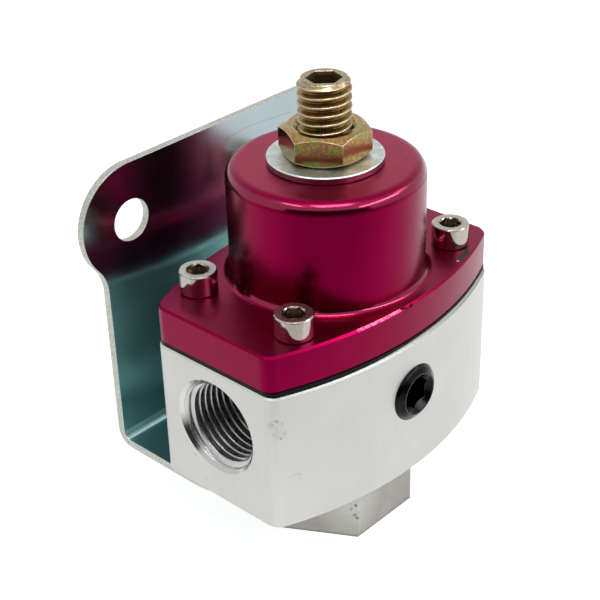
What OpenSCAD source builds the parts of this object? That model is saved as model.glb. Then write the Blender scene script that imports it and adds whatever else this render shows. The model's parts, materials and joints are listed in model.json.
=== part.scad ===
// Two-outlet fuel pressure regulator with a bottom inlet, on its folded mounting bracket.
// Millimetres, +Z up. The inlet and the adjusting screw lie on the Z axis, the outlets face +X and -X,
// the gauge port faces -Y and the bracket plate stands at +Y.
// Z = 0 is the lower face of the inlet fitting's hexagon.

/* [Body block] */
// Half length of the body and cover between their flat ends
block_half_x = 29.8; // [28:0.1:34]
// Half width of the body at the crown of its bowed sides
body_half_y = 20.5; // [19.6:0.1:24]
// Radius of the bowed sides, seen from above
bow_r = 69; // [62:1:110]
// Radius of the four upright corners
corner_r = 2.8; // [2:0.1:4.5]
// Height of the body
body_h = 27.3; // [26:0.1:36]
// Edge break round the top and bottom of the body
body_edge = 0.35; // [0.15:0.05:0.8]

/* [Outlet and gauge ports] */
// Height of the outlet axes above the bottom of the body
port_rise = 15.6; // [15:0.1:15.9]
// Radius of the outlet and inlet threads
port_r = 8.5; // [7.5:0.05:8.6]
// Depth of the outlet threads
port_depth = 13; // [10:0.1:13.5]
// Width of the bevel round each outlet
port_bevel = 0.65; // [0.2:0.05:0.8]
// Radius of the drilling from each outlet to the chamber
drill_r = 6; // [4:0.1:6.4]
// Height of the gauge port's axis above the bottom of the body
gauge_rise = 16.75; // [15.5:0.05:17.5]
// Radius of the gauge port and its plug
gauge_r = 5.4; // [4.8:0.05:6]
// Length of the gauge plug inside the body
plug_len = 7.5; // [6.5:0.1:9]
// Height of the gauge plug's crown outside the body
plug_proud = 1.1; // [0.8:0.1:2.5]
// Radius of the countersink in the gauge plug's crown
plug_sink_r = 3.9; // [3.6:0.05:4.2]
// Width across the flats of the socket in the gauge plug
plug_key = 5.56; // [4:0.01:6]
// Radius of the drilling from the gauge port to the chamber
gauge_drill_r = 2.5; // [1.5:0.1:3.5]

/* [Cover] */
// Half width of the cover flange at the crown of its bowed sides
cover_half_y = 20.1; // [19.4:0.1:24]
// Thickness of the cover flange
flange_h = 7; // [5:0.1:10]
// Edge break round the top of the flange
flange_edge = 0.4; // [0.15:0.05:0.8]
// Outer radius of the dome
dome_r = 17.6; // [16.8:0.1:17.9]
// Height of the dome above the flange
dome_h = 20.9; // [18:0.1:30]
// Wall of the dome
dome_wall = 2.5; // [2:0.1:3]
// Thickness of the dome's roof, which holds the adjusting thread
roof_t = 6.6; // [5:0.1:8]
// Rounding of the dome's top edge
dome_round = 2.3; // [1:0.1:4]
// Fillet between the dome and the flange
dome_fillet = 1.3; // [0.5:0.1:1.4]

/* [Cover screws] */
// Half spacing of the cover screws along X
screw_half_x = 21.05; // [20.8:0.05:23]
// Half spacing of the cover screws along Y
screw_half_y = 11.46; // [11.2:0.01:12.5]
// Radius of a cover screw's shank
shank_r = 2.08; // [1.8:0.02:2.2]
// Length of a cover screw under its head
shank_len = 19; // [15:0.5:22]
// Radius of a cover screw's head
head_r = 3.43; // [3:0.01:3.6]
// Height of a cover screw's head
head_h = 4.17; // [3:0.01:5]
// Width across the flats of the socket in a cover screw
head_socket = 3.57; // [2.5:0.01:4]

/* [Adjuster] */
// Radius of the adjusting screw
adjuster_r = 4.76; // [4:0.01:5.2]
// Length of the adjusting screw
adjuster_len = 25.4; // [23:0.1:45]
// Reach of the adjusting screw below the roof of the dome
adjuster_reach = 3.6; // [3:0.1:5]
// Width across the flats of the socket in the adjusting screw
key_size = 4.76; // [4:0.01:5.2]
// Depth of the sockets in the adjusting screw and the gauge plug
key_depth = 4.8; // [3:0.1:5.4]
// Width across the flats of the jam nut
nut_size = 14.2; // [12.5:0.1:17]
// Height of the jam nut
nut_h = 5.5; // [4:0.1:9]
// Outer radius of the flat washer
washer_r = 10.32; // [9:0.01:13]
// Thickness of the flat washer
washer_t = 1.35; // [1:0.05:2.5]

/* [Bracket] */
// Thickness of the bracket sheet
sheet_t = 1.5; // [1:0.05:2.5]
// Half width of the shelf and of the lower plate
bracket_half_x = 28.7; // [27:0.1:33]
// Rounding of the shelf's two front corners
shelf_round = 24; // [16:0.5:26]
// Place of the shelf's front edge along Y
shelf_front = -15; // [-18:0.1:-13]
// Place of the plate's front surface along Y
plate_y = 27.2; // [25:0.1:36]
// Inner radius of the fold
fold_r = 1.8; // [1:0.1:3]
// Half spacing of the two mounting holes
hole_half_x = 21.9; // [19:0.05:26]
// Height of the mounting holes above the top of the cover flange
hole_rise = 8.95; // [6:0.01:18]
// Radius of the mounting holes
hole_r = 4; // [3:0.05:5]
// Outer radius of the rounded ears
ear_r = 11.1; // [9.5:0.1:14]
// Fillet between each ear and the straight side below it
ear_fillet = 8; // [5:0.5:12]

/* [Inlet fitting] */
// Width across the flats of the fitting's hexagon
fitting_size = 27.1; // [24:0.1:32]
// Height of the fitting's hexagon
hex_h = 13.9; // [13:0.1:20]
// Radius of the neck that screws into the body
neck_r = 9.5; // [9:0.05:10]
// Length of the neck inside the body
neck_len = 8; // [7:0.1:9]
// Radius of the section of the neck's sealing ring
seal_r = 0.85; // [0.6:0.05:1]

/* [Valve] */
// Radius of the orifice in the valve seat
orifice_r = 3; // [2.4:0.1:3.4]
// Radius of the valve seat insert
seat_r = 6.6; // [6.2:0.05:6.8]
// Thickness of the valve seat insert
seat_t = 3; // [2:0.1:3.5]
// Radius of the valve bore below the seat
valve_bore_r = 5.2; // [4.9:0.05:5.4]
// Lift of the poppet between open and closed
lift = 1.2; // [0.6:0.05:1.6]
// Thickness of the poppet's disc
poppet_t = 2.4; // [2:0.1:3]
// Thickness of the poppet's rubber ring
poppet_seal_t = 1.2; // [0.8:0.05:1.5]
// Height of the valve spring when the valve is open
valve_spring_h = 3.2; // [2.8:0.1:5]
// Wire of the valve spring
valve_wire = 0.5; // [0.3:0.02:0.6]
// Thickness of the spring retainer
retainer_t = 1; // [0.8:0.05:1.5]
// Thickness of the retaining clip
clip_t = 0.9; // [0.6:0.05:1.2]
// Radius of the stem's rod
rod_r = 1.6; // [1.2:0.05:1.9]

/* [Diaphragm and spring] */
// Thickness of the diaphragm
diaphragm_t = 0.9; // [0.6:0.05:1.5]
// Outer radius of the diaphragm's rolled fold
roll_r = 1.9; // [1.6:0.05:2.3]
// Step of the diaphragm's edge inside the body's outline
diaphragm_inset = 0.25; // [0:0.05:0.6]
// Thickness of the two diaphragm plates
plate_t = 1.2; // [0.8:0.05:1.8]
// Height of the upper plate's rim above its floor
rim_h = 2; // [1:0.1:3]
// Radius of the stem's thread through the plates
stem_r = 2.5; // [2:0.05:3]
// Width across the flats of the stem nut
stem_nut_size = 8; // [7:0.1:10]
// Height of the stem nut
stem_nut_h = 3.2; // [2:0.1:5]
// Wire of the main spring
main_wire = 2; // [1.2:0.1:2.4]
// Rise of one open turn of the main spring
main_pitch = 3.6; // [3:0.1:4.5]
// Thickness of the spring seat's disc
spring_seat_t = 2.5; // [2:0.1:4]

/* [Clearances] */
// Radial clearance of a moving thread or slide
run_clear = 0.06; // [0.02:0.01:0.1]
// Radial clearance of a fixed thread or insert
fit_clear = 0.03; // [0.01:0.01:0.06]
// Radial clearance of a screw in its passing hole
pass_clear = 0.2; // [0.1:0.05:0.4]
// Gap left round springs and rolled rubber
loose_clear = 0.25; // [0.1:0.05:0.4]

/* [Hidden] */
$fn = 96;
// Overshoot of a cut past the face that it opens
over = 1;

// Heights of the stack, from the fitting up to the adjuster
z_body = hex_h + sheet_t;
z_diaphragm = z_body + body_h;
z_flange = z_diaphragm + diaphragm_t;
z_cover_top = z_flange + flange_h;
z_dome_top = z_cover_top + dome_h;
z_roof = z_dome_top - roof_t;
z_nut = z_dome_top + washer_t;
z_adjuster = z_roof - adjuster_reach;
z_port = z_body + port_rise;
z_gauge = z_body + gauge_rise;

// Dome bore, rolled fold, plates and the stop shoulder under the lower plate
bore_r = dome_r - dome_wall;
bore_round = dome_wall * 0.8;
roll_mid_r = bore_r - loose_clear - roll_r;
plate_r = roll_mid_r - roll_r - loose_clear;
stop_w = 1.9;
chamber_r = plate_r - stop_w;
rim_t = 0.8;

// Neck, valve seat, poppet, spring and retainer, from the top down
z_neck = z_body + neck_len;
z_seat = z_neck - seat_t;
seat_lip = 0.4;
close_gap = 0.05;
poppet_proud = 0.15;
z_poppet_seal = z_seat - seat_lip - close_gap - lift;
z_poppet = z_poppet_seal - poppet_proud;
z_retainer = z_poppet - poppet_t - valve_spring_h;
z_clip = z_retainer - retainer_t;
clip_land = 0.6;
inlet_depth = z_clip - clip_t - clip_land;
pocket_r = seat_r;
clip_groove = 0.6;
poppet_pilot_r = 1.9;
poppet_pilot_h = 1;
poppet_flat = valve_bore_r - 1;
seal_inner_r = rod_r + 0.5;
seal_outer_r = poppet_flat - 0.2;
neck_gap = 0.3;
seal_groove_w = 2 * seal_r + 0.4;
seal_land = 1;

// Stem and its shoulder below the lower plate
z_lower_plate = z_diaphragm - plate_t;
shoulder_r = stem_r + 0.9;
shoulder_h = 2;
stem_proud = 0.8;

// Main spring between the upper plate and the spring seat
z_cup_floor = z_flange + plate_t;
z_spring_top = z_adjuster - spring_seat_t;
main_outer_r = plate_r - rim_t - loose_clear;
main_mid_r = main_outer_r - main_wire / 2;
pilot_r = main_mid_r - main_wire / 2 - loose_clear;
pilot_h = 1.6;
seat_rim = 1;
spring_gap = 0.05;

// Cover screw sockets and holes
head_chamfer = 0.2;
head_foot = 0.25;
head_socket_depth = head_h * 0.55;
tap_spare = 1.5;

// Turns of the hexagons about their axes, as they were left when tightened
nut_turn = 3.25;
key_turn = 13.6;
plug_turn = 20;
head_turns = [14, 40, 5, 25];

// Colours
aluminium = [0.82, 0.82, 0.81];
anodised = [0.62, 0.02, 0.17];
steel = [0.66, 0.67, 0.68];
yellow_zinc = [0.78, 0.68, 0.36];
black = [0.06, 0.06, 0.065];
brass = [0.77, 0.62, 0.3];

// Corner centre of the bowed outline: its circle touches the flat end and the bow from inside
function corner_y(half_y) =
    sqrt(pow(bow_r - corner_r, 2) - pow(block_half_x - corner_r, 2)) - (bow_r - half_y);

// Place along X where the bow runs into the corner
function bow_end_x() = (block_half_x - corner_r) * bow_r / (bow_r - corner_r);

// Flat bowed outline with two straight ends, drawn in by a step all round
module bowed_outline(half_y, inset = 0) {
    cy = corner_y(half_y);
    centre_y = bow_r - half_y;
    intersection() {
        translate([0, -centre_y]) circle(bow_r - inset);
        translate([0, centre_y]) circle(bow_r - inset);
        square([2 * bow_end_x(), 4 * half_y], center = true);
    }
    square([2 * (block_half_x - inset), 2 * cy], center = true);
    for (sx = [-1, 1], sy = [-1, 1])
        translate([sx * (block_half_x - corner_r), sy * cy]) circle(corner_r - inset);
}

// Disc with a bevel on its lower and upper rims
module edged_disc(r, h, low, high) {
    rotate_extrude($fn = $fn)
        polygon([[0, 0], [r - low, 0], [r, low], [r, h - high], [r - high, h], [0, h]]);
}

// Block of the bowed outline with a bevel round its lower and upper edges.
// Each bow and each corner fills its own sector, so that they meet along the line where they touch.
module bowed_block(half_y, h, low, high) {
    cy = corner_y(half_y);
    cx = block_half_x - corner_r;
    hx = block_half_x;
    centre_y = bow_r - half_y;
    lean = [cx, -centre_y - cy] / (bow_r - corner_r);
    mid_x = cx * centre_y / (centre_y + cy);
    far = [cx, -cy] + 2 * half_y * lean;
    for (side = [0, 1])
        mirror([0, side, 0])
            intersection() {
                translate([0, centre_y, 0]) edged_disc(bow_r, h, low, high);
                translate([0, 0, -over])
                    linear_extrude(h + 2 * over)
                        polygon([[-mid_x, 0], [mid_x, 0], far, [-far[0], far[1]]]);
            }
    translate([0, cy, 0])
        rotate([90, 0, 0])
            linear_extrude(2 * cy)
                polygon([
                    [low - hx, 0], [hx - low, 0], [hx, low], [hx, h - high],
                    [hx - high, h], [high - hx, h], [-hx, h - high], [-hx, low]
                ]);
    for (side_x = [0, 1], side_y = [0, 1])
        mirror([side_x, 0, 0])
            mirror([0, side_y, 0])
                intersection() {
                    translate([cx, -cy, 0]) edged_disc(corner_r, h, low, high);
                    translate([cx, -cy, -over])
                        linear_extrude(h + 2 * over)
                            polygon(corner_r * [
                                [-0.5, 0.5], 0.5 * lean, 2 * lean, [2, -2], [2, 0], [0.5, 0]
                            ]);
                }
}

// Hexagonal nut blank: its corners are bevelled down to a share of its size at both ends
module hex_prism(size, h, end_share, turn = 0) {
    bevel_r = size * end_share;
    far_r = size * 0.7;
    bevel_h = (far_r - bevel_r) * tan(30);
    intersection() {
        rotate(turn) cylinder(d = size / cos(30), h = h, $fn = 6);
        rotate_extrude()
            polygon([[0, 0], [bevel_r, 0], [far_r, bevel_h], [far_r, h - bevel_h], [bevel_r, h], [0, h]]);
    }
}

// Hexagonal key socket, cut downwards from Z = 0, with a drilled point below it
module key_socket(size, depth, turn = 0) {
    rotate(turn) translate([0, 0, -depth]) cylinder(d = size / cos(30), h = depth + over, $fn = 6);
    point_h = size * 0.15;
    translate([0, 0, -depth - point_h]) cylinder(r1 = 0, r2 = size / 2, h = point_h + 0.01);
    mouth = size * 0.06;
    mouth_r = size / 2 / cos(30);
    translate([0, 0, -mouth]) cylinder(r1 = mouth_r - mouth, r2 = mouth_r + mouth, h = 2 * mouth);
}

// Round bar section with a rounded upper rim, for the dome and its bore
module round_top_profile(r, h, f) {
    square([r, h - f]);
    square([r - f, h]);
    translate([r - f, h - f]) circle(f);
}

// Centre height of a closed-end coil after a number of turns
function coil_rise(t, turns, end_pitch, mid_pitch) =
    t < 1 ? t * end_pitch
    : t < turns - 1 ? end_pitch + (t - 1) * mid_pitch
    : end_pitch + (turns - 2) * mid_pitch + (t - turns + 1) * end_pitch;

// Compression spring from Z = 0 to h with closed ends that are ground flat
module ground_spring(mid_r, wire, h, pitch, steps, sides) {
    end_pitch = wire * 1.06;
    tip_h = wire * 0.3;
    open_h = h - 2 * (tip_h + end_pitch);
    turns = 2 + max(0.5, open_h / pitch);
    mid_pitch = open_h / (turns - 2);
    count = round(turns * steps);
    points = [
        for (i = [0 : count], j = [0 : sides - 1])
            let (
                t = turns * i / count,
                a = 360 * t,
                b = 360 * (j + 0.5) / sides,
                r = mid_r + wire / 2 * cos(b),
                z = tip_h + coil_rise(t, turns, end_pitch, mid_pitch) + wire / 2 * sin(b)
            )
            [r * cos(a), r * sin(a), min(h, max(0, z))]
    ];
    wall_faces = [
        for (i = [0 : count - 1], j = [0 : sides - 1], half = [0, 1])
            let (
                p = i * sides + j,
                q = i * sides + (j + 1) % sides
            )
            half == 0 ? [p, q, p + sides] : [q, q + sides, p + sides]
    ];
    first_face = [[for (j = [sides - 1 : -1 : 0]) j]];
    last_face = [[for (j = [0 : sides - 1]) count * sides + j]];
    polyhedron(points, concat(wall_faces, first_face, last_face));
}

// Places of the four cover screws
module at_cover_screws() {
    for (sx = [-1, 1], sy = [-1, 1])
        translate([sx * screw_half_x, sy * screw_half_y, 0]) children();
}

module outlet_cut() {
    rotate([0, 90, 0]) {
        cylinder(r = drill_r, h = block_half_x);
        translate([0, 0, block_half_x - port_depth]) cylinder(r = port_r, h = port_depth + over);
        translate([0, 0, block_half_x - port_bevel])
            cylinder(r1 = port_r, r2 = port_r + port_bevel + over, h = port_bevel + over);
    }
}

module gauge_cut() {
    rotate([90, 0, 0]) {
        cylinder(r = gauge_drill_r, h = body_half_y);
        translate([0, 0, body_half_y - plug_len - over])
            cylinder(r = gauge_r + fit_clear, h = plug_len + 2 * over);
    }
}

module body() {
    color(aluminium)
        difference() {
            translate([0, 0, z_body]) bowed_block(body_half_y, body_h, body_edge, body_edge);
            translate([0, 0, z_lower_plate]) cylinder(r = bore_r, h = plate_t + over);
            translate([0, 0, z_neck + neck_gap]) cylinder(r = chamber_r, h = body_h);
            translate([0, 0, z_body - over])
                cylinder(r = neck_r + fit_clear, h = neck_len + neck_gap + over);
            translate([0, 0, z_port]) {
                outlet_cut();
                mirror([1, 0, 0]) outlet_cut();
            }
            translate([0, 0, z_gauge]) gauge_cut();
            at_cover_screws()
                translate([0, 0, z_cover_top - shank_len - tap_spare])
                    cylinder(r = shank_r + fit_clear, h = shank_len);
        }
}

module cover() {
    bore_h = z_roof - z_flange;
    color(anodised)
        difference() {
            union() {
                translate([0, 0, z_flange])
                    bowed_block(cover_half_y, flange_h, flange_edge / 2, flange_edge);
                translate([0, 0, z_cover_top]) rotate_extrude() {
                    round_top_profile(dome_r, dome_h, dome_round);
                    difference() {
                        square([dome_r + dome_fillet, dome_fillet]);
                        translate([dome_r + dome_fillet, dome_fillet]) circle(dome_fillet);
                    }
                }
            }
            translate([0, 0, z_flange - over])
                rotate_extrude() round_top_profile(bore_r, bore_h + over, bore_round);
            translate([0, 0, z_roof - over]) cylinder(r = adjuster_r + run_clear, h = roof_t + 2 * over);
            at_cover_screws()
                translate([0, 0, z_flange - over])
                    cylinder(r = shank_r + pass_clear, h = flange_h + 2 * over);
        }
}

module diaphragm() {
    color(black)
        translate([0, 0, z_diaphragm]) {
            linear_extrude(diaphragm_t)
                difference() {
                    bowed_outline(body_half_y, diaphragm_inset);
                    circle(roll_mid_r);
                    at_cover_screws() circle(shank_r + pass_clear);
                }
            rotate_extrude() {
                difference() {
                    translate([stem_r + fit_clear, 0]) square([roll_mid_r - stem_r, diaphragm_t]);
                    translate([roll_mid_r, 0]) circle(roll_r - diaphragm_t);
                }
                intersection() {
                    difference() {
                        translate([roll_mid_r, 0]) circle(roll_r);
                        translate([roll_mid_r, 0]) circle(roll_r - diaphragm_t);
                    }
                    translate([roll_mid_r - roll_r, 0]) square([2 * roll_r, roll_r]);
                }
            }
        }
}

module cover_screw(turn) {
    difference() {
        rotate_extrude()
            polygon([
                [0, -shank_len], [shank_r * 0.75, -shank_len], [shank_r, shank_r * 0.4 - shank_len],
                [shank_r, 0], [head_r - head_foot, 0], [head_r, head_foot],
                [head_r, head_h - head_chamfer], [head_r - head_chamfer, head_h], [0, head_h]
            ]);
        translate([0, 0, head_h]) key_socket(head_socket, head_socket_depth, turn);
    }
}

module cover_screws() {
    corners = [[-1, -1], [-1, 1], [1, -1], [1, 1]];
    color(steel)
        for (i = [0 : 3])
            translate([corners[i][0] * screw_half_x, corners[i][1] * screw_half_y, z_cover_top])
                cover_screw(head_turns[i]);
}

module adjusting_screw() {
    top_bevel = adjuster_r * 0.16;
    point_bevel = adjuster_r * 0.3;
    color(yellow_zinc)
        translate([0, 0, z_adjuster])
            difference() {
                edged_disc(adjuster_r, adjuster_len, point_bevel, top_bevel);
                translate([0, 0, adjuster_len]) key_socket(key_size, key_depth, key_turn);
            }
}

module jam_nut() {
    sink = 0.7;
    hole = adjuster_r + run_clear;
    color(yellow_zinc)
        translate([0, 0, z_nut])
            difference() {
                hex_prism(nut_size, nut_h, 0.455, nut_turn);
                translate([0, 0, -over]) cylinder(r = hole, h = nut_h + 2 * over);
                translate([0, 0, nut_h - sink]) cylinder(r1 = hole, r2 = hole + sink, h = sink + 0.01);
                translate([0, 0, -0.01]) cylinder(r1 = hole + sink, r2 = hole, h = sink + 0.01);
            }
}

module flat_washer() {
    washer_edge = washer_t * 0.15;
    color(steel)
        translate([0, 0, z_dome_top])
            difference() {
                edged_disc(washer_r, washer_t, washer_edge, washer_edge);
                translate([0, 0, -over]) cylinder(r = adjuster_r + 2 * pass_clear, h = washer_t + 2 * over);
            }
}

module gauge_plug() {
    plug_edge = 0.5;
    lip_w = 0.15;
    crown = plug_len + plug_proud;
    crown_r = plug_sink_r + lip_w;
    bulge_r = gauge_r - (gauge_r - crown_r) * 0.3;
    sink = plug_sink_r - plug_key / 2;
    color(black)
        translate([0, plug_len - body_half_y, z_gauge])
            rotate([90, 0, 0])
                difference() {
                    rotate_extrude()
                        polygon([
                            [0, 0], [gauge_r - plug_edge, 0], [gauge_r, plug_edge],
                            [gauge_r, plug_len - lip_w], [bulge_r, plug_len + plug_proud * 0.4],
                            [crown_r, crown], [0, crown]
                        ]);
                    translate([0, 0, crown]) key_socket(plug_key, key_depth, plug_turn);
                    translate([0, 0, crown - sink])
                        cylinder(r1 = plug_sink_r - sink, r2 = plug_sink_r + 0.01, h = sink + 0.01);
                }
}

module shelf_outline() {
    fold_y = plate_y - fold_r;
    round_y = shelf_front + shelf_round;
    difference() {
        intersection() {
            union() {
                translate([-bracket_half_x, round_y]) square([2 * bracket_half_x, fold_y - round_y]);
                translate([shelf_round - bracket_half_x, shelf_front])
                    square([2 * (bracket_half_x - shelf_round), shelf_round + over]);
                for (sx = [-1, 1])
                    translate([sx * (bracket_half_x - shelf_round), round_y]) circle(shelf_round);
            }
            translate([-bracket_half_x, shelf_front]) square([2 * bracket_half_x, fold_y - shelf_front]);
        }
        circle(neck_r + pass_clear);
    }
}

// Plate seen from the front: two round ears over a straight-sided lower part
module plate_outline(z_low, z_hole) {
    fillet_x = bracket_half_x + ear_fillet;
    reach = ear_r + ear_fillet;
    fillet_z = z_hole - sqrt(reach * reach - pow(fillet_x - hole_half_x, 2));
    touch_x = hole_half_x + (fillet_x - hole_half_x) * ear_r / reach;
    touch_z = z_hole + (fillet_z - z_hole) * ear_r / reach;
    difference() {
        union() {
            translate([-bracket_half_x, z_low]) square([2 * bracket_half_x, z_hole - z_low]);
            translate([-hole_half_x, z_hole - ear_r]) square([2 * hole_half_x, 2 * ear_r]);
            for (sx = [-1, 1]) {
                translate([sx * hole_half_x, z_hole]) circle(ear_r);
                difference() {
                    polygon([
                        [0, fillet_z], [sx * bracket_half_x, fillet_z], [sx * fillet_x, fillet_z],
                        [sx * touch_x, touch_z], [sx * hole_half_x, z_hole], [0, z_hole]
                    ]);
                    translate([sx * fillet_x, fillet_z]) circle(ear_fillet);
                }
            }
        }
        for (sx = [-1, 1])
            translate([sx * hole_half_x, z_hole]) circle(hole_r);
    }
}

module bracket() {
    z_shelf = hex_h;
    z_fold = z_shelf + sheet_t + fold_r;
    fold_y = plate_y - fold_r;
    color(steel) {
        translate([0, 0, z_shelf]) linear_extrude(sheet_t) shelf_outline();
        translate([0, plate_y + sheet_t, 0])
            rotate([90, 0, 0])
                linear_extrude(sheet_t) plate_outline(z_fold, z_cover_top + hole_rise);
        translate([-bracket_half_x, fold_y, z_fold])
            rotate([90, 0, 90])
                linear_extrude(2 * bracket_half_x)
                    intersection() {
                        difference() {
                            circle(fold_r + sheet_t);
                            circle(fold_r);
                        }
                        translate([0, -fold_r - sheet_t]) square(fold_r + sheet_t);
                    }
    }
}

module inlet_fitting() {
    neck_edge = 0.5;
    neck_top = z_neck - hex_h;
    z_groove = z_neck - seal_land - seal_groove_w;
    color(steel)
        difference() {
            union() {
                cylinder(d = fitting_size / cos(30), h = hex_h, $fn = 6);
                translate([0, 0, hex_h - over]) edged_disc(neck_r, neck_top + over, neck_edge, neck_edge);
            }
            translate([0, 0, -over]) cylinder(r = port_r, h = inlet_depth + over);
            translate([0, 0, inlet_depth - over])
                cylinder(r = pocket_r, h = z_retainer - inlet_depth + over);
            translate([0, 0, z_clip - clip_t]) cylinder(r = pocket_r + clip_groove, h = clip_t);
            translate([0, 0, z_retainer - over])
                cylinder(r = valve_bore_r, h = z_neck - z_retainer + over);
            translate([0, 0, z_seat]) cylinder(r = seat_r, h = seat_t + over);
            translate([0, 0, z_groove])
                rotate_extrude()
                    translate([neck_r + fit_clear - 2 * seal_r, 0])
                        square([2 * seal_r + over, seal_groove_w]);
        }
}

module inlet_seal() {
    section_r = seal_r - fit_clear;
    color(black)
        translate([0, 0, z_neck - seal_land - seal_groove_w / 2])
            rotate_extrude() translate([neck_r + fit_clear - seal_r, 0]) circle(section_r);
}

module valve_seat() {
    lip_w = 0.6;
    funnel = 1;
    color(brass)
        translate([0, 0, z_seat])
            rotate_extrude()
                polygon([
                    [orifice_r, -seat_lip], [orifice_r + lip_w, -seat_lip], [orifice_r + 2 * lip_w, 0],
                    [seat_r - fit_clear, 0], [seat_r - fit_clear, seat_t], [orifice_r + funnel, seat_t],
                    [orifice_r, seat_t - funnel]
                ]);
}

module valve_poppet() {
    guide_r = valve_bore_r - run_clear;
    groove_t = poppet_seal_t - poppet_proud;
    color(brass)
        translate([0, 0, z_poppet - poppet_t])
            difference() {
                union() {
                    cylinder(r = guide_r, h = poppet_t);
                    translate([0, 0, -poppet_pilot_h])
                        cylinder(r = poppet_pilot_r, h = poppet_pilot_h + over);
                }
                translate([0, 0, poppet_t - groove_t])
                    rotate_extrude()
                        translate([seal_inner_r, 0]) square([seal_outer_r - seal_inner_r, groove_t + over]);
                for (a = [0 : 120 : 240])
                    rotate(a)
                        translate([poppet_flat, -guide_r, -over])
                            cube([guide_r, 2 * guide_r, poppet_t + 2 * over]);
            }
}

module poppet_seal() {
    inner = seal_inner_r + fit_clear;
    color(black)
        translate([0, 0, z_poppet_seal - poppet_seal_t])
            rotate_extrude()
                translate([inner, 0]) square([seal_outer_r - fit_clear - inner, poppet_seal_t]);
}

module valve_spring() {
    mid_r = poppet_pilot_r + loose_clear + valve_wire / 2;
    color(steel)
        translate([0, 0, z_retainer + spring_gap])
            ground_spring(mid_r, valve_wire, valve_spring_h - 2 * spring_gap, 1.6 * valve_wire, 16, 6);
}

module spring_retainer() {
    flow_count = 8;
    flow_r = 0.75;
    flow_mid_r = valve_bore_r - flow_r - 0.1;
    color(brass)
        translate([0, 0, z_clip])
            difference() {
                cylinder(r = pocket_r - fit_clear, h = retainer_t);
                for (i = [0 : flow_count - 1])
                    rotate(360 * i / flow_count)
                        translate([flow_mid_r, 0, -over]) cylinder(r = flow_r, h = retainer_t + 2 * over);
                translate([0, 0, -over]) cylinder(r = flow_r, h = retainer_t + 2 * over);
            }
}

module retainer_clip() {
    clip_w = 1.4;
    mouth = 3;
    outer = pocket_r + clip_groove - fit_clear;
    color(steel)
        translate([0, 0, z_clip - clip_t])
            difference() {
                cylinder(r = outer, h = clip_t);
                translate([0, 0, -over]) cylinder(r = outer - clip_w, h = clip_t + 2 * over);
                translate([0, -mouth / 2, -over]) cube([2 * outer, mouth, clip_t + 2 * over]);
            }
}

module diaphragm_stem() {
    top = z_cup_floor + stem_nut_h + stem_proud;
    z_shoulder = z_lower_plate - shoulder_h;
    tip = 0.4;
    color(steel)
        rotate_extrude()
            polygon([
                [0, z_poppet], [rod_r, z_poppet], [rod_r, z_shoulder], [shoulder_r, z_shoulder],
                [shoulder_r, z_lower_plate], [stem_r, z_lower_plate], [stem_r, top - tip],
                [stem_r - tip, top], [0, top]
            ]);
}

module lower_plate() {
    color(steel)
        translate([0, 0, z_lower_plate])
            difference() {
                edged_disc(plate_r, plate_t, plate_t / 4, plate_t / 4);
                translate([0, 0, -over]) cylinder(r = stem_r + fit_clear, h = plate_t + 2 * over);
            }
}

module upper_plate() {
    color(steel)
        translate([0, 0, z_flange])
            difference() {
                edged_disc(plate_r, plate_t + rim_h, plate_t / 4, rim_t / 4);
                translate([0, 0, plate_t]) cylinder(r = plate_r - rim_t, h = rim_h + over);
                translate([0, 0, -over]) cylinder(r = stem_r + fit_clear, h = plate_t + 2 * over);
            }
}

module stem_nut() {
    color(steel)
        translate([0, 0, z_cup_floor])
            difference() {
                hex_prism(stem_nut_size, stem_nut_h, 0.49);
                translate([0, 0, -over]) cylinder(r = stem_r + fit_clear, h = stem_nut_h + 2 * over);
            }
}

module main_spring() {
    color(steel)
        translate([0, 0, z_cup_floor + spring_gap])
            ground_spring(
                main_mid_r, main_wire, z_spring_top - z_cup_floor - 2 * spring_gap, main_pitch, 20, 8
            );
}

module spring_seat() {
    nest_r = adjuster_r + loose_clear;
    edge = 0.4;
    color(brass)
        translate([0, 0, z_spring_top])
            difference() {
                union() {
                    edged_disc(main_outer_r, spring_seat_t, edge, edge);
                    translate([0, 0, -pilot_h])
                        edged_disc(pilot_r, pilot_h + spring_seat_t / 2, edge, edge);
                    cylinder(r = nest_r + seat_rim, h = spring_seat_t + seat_rim);
                }
                translate([0, 0, spring_seat_t]) cylinder(r = nest_r, h = seat_rim + over);
            }
}

body();
cover();
diaphragm();
cover_screws();
adjusting_screw();
jam_nut();
flat_washer();
gauge_plug();
bracket();
inlet_fitting();
inlet_seal();
valve_seat();
valve_poppet();
poppet_seal();
valve_spring();
spring_retainer();
retainer_clip();
diaphragm_stem();
lower_plate();
upper_plate();
stem_nut();
main_spring();
spring_seat();
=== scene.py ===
"""The looks of a fuel pressure regulator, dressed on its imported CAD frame. Sizes here are in millimetres."""

import json
import math

import bmesh
import bpy
from mathutils import Matrix, Vector


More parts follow.
